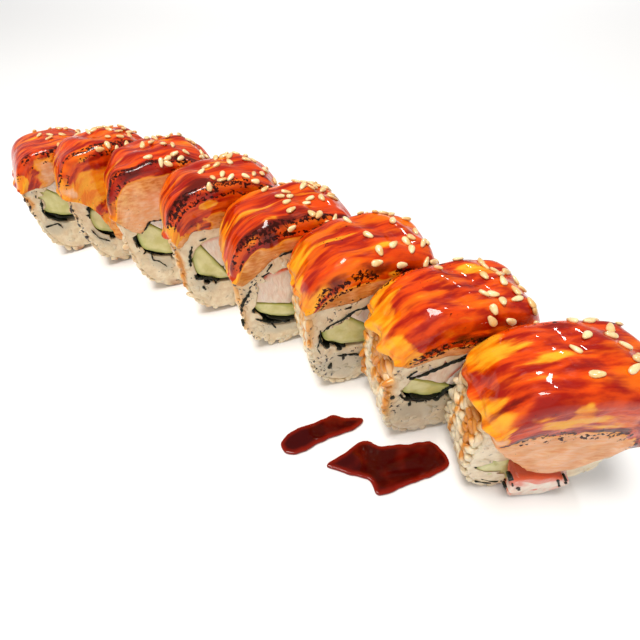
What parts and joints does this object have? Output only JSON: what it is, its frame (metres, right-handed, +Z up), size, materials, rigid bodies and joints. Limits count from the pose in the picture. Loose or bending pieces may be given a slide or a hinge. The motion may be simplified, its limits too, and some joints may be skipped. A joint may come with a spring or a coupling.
{
  "type": "uramaki roll",
  "caption": "Row of uramaki slices: rice outside, nori, avocado and crab inside, seared glazed salmon and sesame over the top, and dark sauce pooled beside them.",
  "frame": {"origin": "under the middle of the whole row's box, on the surface it stands on", "axes": "+X along the row towards its near end, +Y away from the side that shows, +Z up"},
  "size_m": [0.2354, 0.0686, 0.0526],
  "materials": {
    "rice": "cooked white rice, moist grains pressed together, stained amber by sauce",
    "nori": "thin black-green seaweed sheet, slightly crinkled",
    "avocado": "ripe avocado flesh, pale yellow green with a greener rim",
    "crab": "white crab stick with a pink-red skin, fine fibres",
    "salmon": "seared salmon under torched mayonnaise and a glossy red-orange glaze, strewn with sesame",
    "sauce": "thin dark red-brown sauce, wet gloss"
  },
  "bodies": {
    "root": {"rice_1": "rice", "rice_2": "rice", "rice_3": "rice", "rice_4": "rice", "rice_5": "rice", "rice_6": "rice", "rice_7": "rice", "rice_8": "rice", "nori_1": "nori", "nori_2": "nori", "nori_3": "nori", "nori_4": "nori", "nori_5": "nori", "nori_6": "nori", "nori_7": "nori", "nori_8": "nori", "avocado_1": "avocado", "avocado_2": "avocado", "avocado_3": "avocado", "avocado_4": "avocado", "avocado_5": "avocado", "avocado_6": "avocado", "avocado_7": "avocado", "avocado_8": "avocado", "crab_left_1": "crab", "crab_left_2": "crab", "crab_left_3": "crab", "crab_left_4": "crab", "crab_left_5": "crab", "crab_left_6": "crab", "crab_left_7": "crab", "crab_left_8": "crab", "crab_right_1": "crab", "crab_right_2": "crab", "crab_right_3": "crab", "crab_right_4": "crab", "crab_right_5": "crab", "crab_right_6": "crab", "crab_right_7": "crab", "crab_right_8": "crab", "salmon_1": "salmon", "salmon_2": "salmon", "salmon_3": "salmon", "salmon_4": "salmon", "salmon_5": "salmon", "salmon_6": "salmon", "salmon_7": "salmon", "salmon_8": "salmon", "sauce_streak": "sauce", "sauce_pool": "sauce"}
  },
  "joints": []
}
